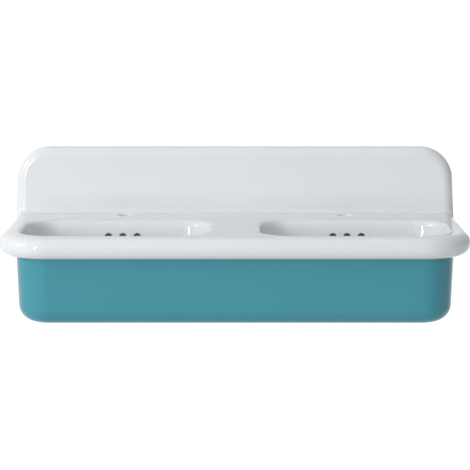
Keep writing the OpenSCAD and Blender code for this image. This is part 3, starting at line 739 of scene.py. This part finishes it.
def metalGroup(s):
    # Metal round a waste's axis: turning lines as bands of radius and height, dried water drops, tarnish
    group, given, made = nodeGroup("wasteMetal", [
        ("Colour", (0.8, 0.8, 0.8, 1)), ("Tarnish Colour", (0.5, 0.45, 0.4, 1)), ("Tarnish", 0.2),
        ("Turned", 0.5), ("Spots", 0.5), ("Gloss", 0.1)])
    vector = given["Vector"]
    split = group.nodes.new("ShaderNodeSeparateXYZ")
    group.links.new(vector, split.inputs[0])
    across = maths(group, "SUBTRACT", maths(group, "ABSOLUTE", split.outputs[0]), wasteX * mm)
    along = maths(group, "SUBTRACT", split.outputs[1], wasteY * mm)
    radius = maths(group, "SQRT", total(group, times(group, across, across), times(group, along, along)))
    band = group.nodes.new("ShaderNodeCombineXYZ")
    group.links.new(radius, band.inputs[0])
    group.links.new(split.outputs[2], band.inputs[2])
    lines = times(group, noise(group, band.outputs[0], s["lines"]), given["Turned"])
    stain = times(group, noise(group, vector, s["cloud"]), given["Tarnish"])
    drop = times(group, dots(group, vector, s["drops"]), noise(group, vector, s["splashed"]), given["Spots"])
    colour = mixColour(group, stain, given["Colour"], given["Tarnish Colour"])
    worn = total(group, times(group, lines, s["lineRoughness"]), times(group, stain, s["stainRoughness"]))
    roughness = total(group, given["Gloss"], worn, times(group, drop, s["dropRoughness"]))
    height = maths(group, "SUBTRACT", lines, times(group, drop, s["dropHeight"]))
    return finishGroup(group, made, colour, roughness, height)


def newMaterial(name):
    material = bpy.data.materials.new(name)
    material.use_nodes = True
    tree = material.node_tree
    place = tree.nodes.new("ShaderNodeTexCoord").outputs["Object"]
    return material, tree, tree.nodes["Principled BSDF"], place


def lookMaterial(name, look):
    # A material from a group: given holds the group's values, and own the shader's own sockets
    material, tree, shader, place = newMaterial(name)
    node = tree.nodes.new("ShaderNodeGroup")
    node.node_tree = look["group"]
    tree.links.new(place, node.inputs["Vector"])
    for sockets, values in ((node.inputs, look["given"]), (shader.inputs, look["own"])):
        for label, value in values.items():
            sockets[label].default_value = value
    tree.links.new(node.outputs["Colour"], shader.inputs["Base Color"])
    tree.links.new(node.outputs["Roughness"], shader.inputs["Roughness"])
    bump = tree.nodes.new("ShaderNodeBump")
    bump.inputs["Distance"].default_value = look["relief"]
    tree.links.new(node.outputs["Height"], bump.inputs["Height"])
    tree.links.new(bump.outputs["Normal"], shader.inputs["Normal"])
    return material


glaze, moulded, wasteMetal = glazeGroup(glazeTexture), mouldedGroup(mouldedTexture), metalGroup(metalTexture)


def glazeLook(colour, pooled, gloss, dull, relief=0.0003, shine=0.5):
    given = {"Colour": colour, "Pooled Colour": pooled, "Drift": 0.5, "Dull": dull, "Gloss": gloss}
    own = {"IOR": 1.5, "Specular IOR Level": shine}
    return {"group": glaze, "given": given, "own": own, "relief": relief}


def mouldedLook(colour, dust, bloom, gloss, relief):
    given = {"Colour": colour, "Bloom Colour": dust, "Bloom": bloom, "Gloss": gloss}
    return {"group": moulded, "given": given, "own": {"IOR": 1.48}, "relief": relief}


def metalLook(colour, stained, tarnish, turned, spots, gloss, relief):
    given = {
        "Colour": colour, "Tarnish Colour": stained, "Tarnish": tarnish, "Turned": turned, "Spots": spots,
        "Gloss": gloss}
    return {"group": wasteMetal, "given": given, "own": {"Metallic": 1.0}, "relief": relief}


looks = {
    "white_glaze": glazeLook((0.81, 0.835, 0.855, 1), (0.78, 0.81, 0.835, 1), gloss=0.035, dull=0.02),
    "teal_glaze": glazeLook(
        (0.060, 0.311, 0.392, 1), (0.056, 0.297, 0.374, 1), gloss=0.06, dull=0.03, shine=0.22),
    "channel_glaze": glazeLook(
        (0.66, 0.67, 0.65, 1), (0.58, 0.57, 0.53, 1), gloss=0.24, dull=0.25, relief=0.0008),
    "bush_plastic": mouldedLook(
        (0.66, 0.66, 0.62, 1), (0.50, 0.49, 0.45, 1), bloom=0.3, gloss=0.42, relief=0.00004),
    "washer_plastic": mouldedLook(
        (0.72, 0.72, 0.68, 1), (0.58, 0.56, 0.50, 1), bloom=0.25, gloss=0.36, relief=0.00004),
    "cartridge_plastic": mouldedLook(
        (0.76, 0.76, 0.72, 1), (0.62, 0.60, 0.54, 1), bloom=0.2, gloss=0.30, relief=0.00003),
    "seal_rubber": mouldedLook(
        (0.022, 0.022, 0.024, 1), (0.10, 0.10, 0.095, 1), bloom=0.35, gloss=0.55, relief=0.00006),
    "chrome": metalLook(
        (0.79, 0.80, 0.82, 1), (0.60, 0.58, 0.55, 1), tarnish=0.15, turned=0.10, spots=0.7, gloss=0.045,
        relief=0.000006),
    "nut_brass": metalLook(
        (0.72, 0.50, 0.20, 1), (0.33, 0.20, 0.09, 1), tarnish=0.55, turned=0.7, spots=0.3, gloss=0.22,
        relief=0.00003),
    "stem_steel": metalLook(
        (0.56, 0.56, 0.57, 1), (0.34, 0.32, 0.30, 1), tarnish=0.3, turned=0.6, spots=0.2, gloss=0.20,
        relief=0.00002),
    "spring_steel": metalLook(
        (0.50, 0.50, 0.51, 1), (0.30, 0.27, 0.24, 1), tarnish=0.3, turned=0.2, spots=0.2, gloss=0.24,
        relief=0.00001),
}
materials = {slot: lookMaterial(slot + "_look", look) for slot, look in looks.items()}
whiteCasting.data.materials.append(materials["white_glaze"])
tealCasting.data.materials.append(materials["teal_glaze"])
for piece in springs:
    piece.data.materials.append(materials["spring_steel"])
replaced = {"basin", "apron", "latch_spring_left", "latch_spring_right"}
for part in frame["record"]["subparts"]:
    if part["node"] not in replaced:
        for place in frame["nodes"][part["node"]].material_slots:
            place.material = materials[part["material_slot"]]
print("materials made")

# Stage, lights and camera, in metres
cameraLook = {"place": (0.0, -4.590, 0.730), "tilt": 8.88, "lens": 129.0, "sensor": 36.0, "reach": 100}
camera = bpy.data.objects.new("camera", bpy.data.cameras.new("camera"))
scene.collection.objects.link(camera)
camera.location = cameraLook["place"]
camera.rotation_euler = (math.radians(90 - cameraLook["tilt"]), 0, 0)
camera.data.lens = cameraLook["lens"]
camera.data.sensor_width = cameraLook["sensor"]
camera.data.clip_end = cameraLook["reach"]
scene.camera = camera

floorLook = {
    "drop": 0.85, "size": 14.0, "lift": 0.66, "roughness": 0.7, "shades": (0.64, 0.66),
    "patches": {"scale": 2.0, "detail": 3.0}, "span": (0.3, 0.7),
}
size, level = floorLook["size"], -floorLook["drop"]
floorMesh = bpy.data.meshes.new("floor")
corners = [(-size, -size, level), (size, -size, level), (size, size, level), (-size, size, level)]
floorMesh.from_pydata(corners, [], [(0, 1, 2, 3)])
floor = bpy.data.objects.new("floor", floorMesh)
scene.collection.objects.link(floor)


def seenDirectly(tree):
    # 1 for what the camera, a mirror or glass sees, 0 for light that only falls on things
    path = tree.nodes.new("ShaderNodeLightPath")
    seen = maths(tree, "MAXIMUM", path.outputs["Is Camera Ray"], path.outputs["Is Glossy Ray"])
    return maths(tree, "MAXIMUM", seen, path.outputs["Is Transmission Ray"])


def floorMaterial(look):
    # Pale and matte. Where it is seen, it is lifted to white and still takes the object's shadow.
    material, tree, shader, place = newMaterial("paleFloor")
    shade = ramp(tree, noise(tree, place, look["patches"]), *look["span"], *look["shades"])
    tree.links.new(shade, shader.inputs["Base Color"])
    shader.inputs["Roughness"].default_value = look["roughness"]
    white = tree.nodes.new("ShaderNodeEmission")
    tree.links.new(times(tree, seenDirectly(tree), look["lift"]), white.inputs["Strength"])
    both = tree.nodes.new("ShaderNodeAddShader")
    tree.links.new(shader.outputs[0], both.inputs[0])
    tree.links.new(white.outputs[0], both.inputs[1])
    tree.links.new(both.outputs[0], tree.nodes["Material Output"].inputs[0])
    return material


floor.data.materials.append(floorMaterial(floorLook))

# The studio's grey levels at five places across, from left to right, near the horizon and overhead
studioLook = {
    "across": (-1.0, -0.4, 0.0, 0.4, 1.0),
    "low": (0.4, 0.4, 0.4, 0.16, 0.26), "high": (0.4, 0.4, 1.0, 0.3, 0.26),
    "rise": (0.0, 0.7), "mirrorSpan": (0.0, 0.5), "mirrorLoss": 0.5,
}


def stepped(tree, value, knots, levels):
    # Straight lines between the levels at the knots: each line adds its own climb
    made = levels[0]
    for k in range(len(knots) - 1):
        made = total(tree, made, ramp(tree, value, knots[k], knots[k + 1], 0.0, levels[k + 1] - levels[k]))
    return made


def studioWorld(look):
    # Soft grey studio, white where it is seen. Its levels follow the direction's x from left to right, once
    # near the horizon (low) and once overhead (high), and its z mixes those two.
    world = bpy.data.worlds.new("studio")
    scene.world = world
    world.use_nodes = True
    tree = world.node_tree
    back = tree.nodes["Background"]
    back.inputs["Strength"].default_value = 1.0
    direction = tree.nodes.new("ShaderNodeTexCoord").outputs["Generated"]
    split = tree.nodes.new("ShaderNodeSeparateXYZ")
    tree.links.new(direction, split.inputs[0])
    low, high = (stepped(tree, split.outputs["X"], look["across"], look[band]) for band in ("low", "high"))
    rise = ramp(tree, split.outputs["Z"], *look["rise"])
    level = total(tree, low, times(tree, maths(tree, "SUBTRACT", high, low), rise))
    seen = seenDirectly(tree)
    # mirrored in a glaze or a metal, the white shades off to the right, as the studio does
    gloss = tree.nodes.new("ShaderNodeLightPath").outputs["Is Glossy Ray"]
    shade = ramp(tree, split.outputs["X"], *look["mirrorSpan"], 0.0, look["mirrorLoss"])
    white = maths(tree, "SUBTRACT", 1.0, times(tree, shade, gloss))
    level = total(tree, times(tree, level, maths(tree, "SUBTRACT", 1.0, seen)), times(tree, seen, white))
    tree.links.new(level, back.inputs["Color"])


studioWorld(studioLook)

lamps = {
    "leftStrip": {"place": (-5.4, -8.7, 1.35), "aim": (0, -0.2, 0), "size": (0.9, 4.4), "power": 355},
    "leftSide": {"place": (-7.8, -3.1, 3.3), "aim": (0, -0.2, 0), "size": (3.0, 2.2), "power": 160},
    "front": {"place": (-1.9, -10.9, 5.1), "aim": (0, -0.2, 0), "size": (4.0, 4.0), "power": 40},
    "overhead": {"place": (-0.5, -0.6, 7.0), "aim": (0, -0.3, 0), "size": (5.0, 4.0), "power": 38},
}


def areaLight(name, look):
    lamp = bpy.data.lights.new(name, "AREA")
    lamp.shape = "RECTANGLE"
    lamp.size, lamp.size_y = look["size"]
    lamp.energy = look["power"]
    holder = bpy.data.objects.new(name, lamp)
    scene.collection.objects.link(holder)
    holder.location = look["place"]
    holder.rotation_euler = (Vector(look["aim"]) - Vector(look["place"])).to_track_quat("-Z", "Y").to_euler()


for name, look in lamps.items():
    areaLight(name, look)
print("stage, lights and camera made")
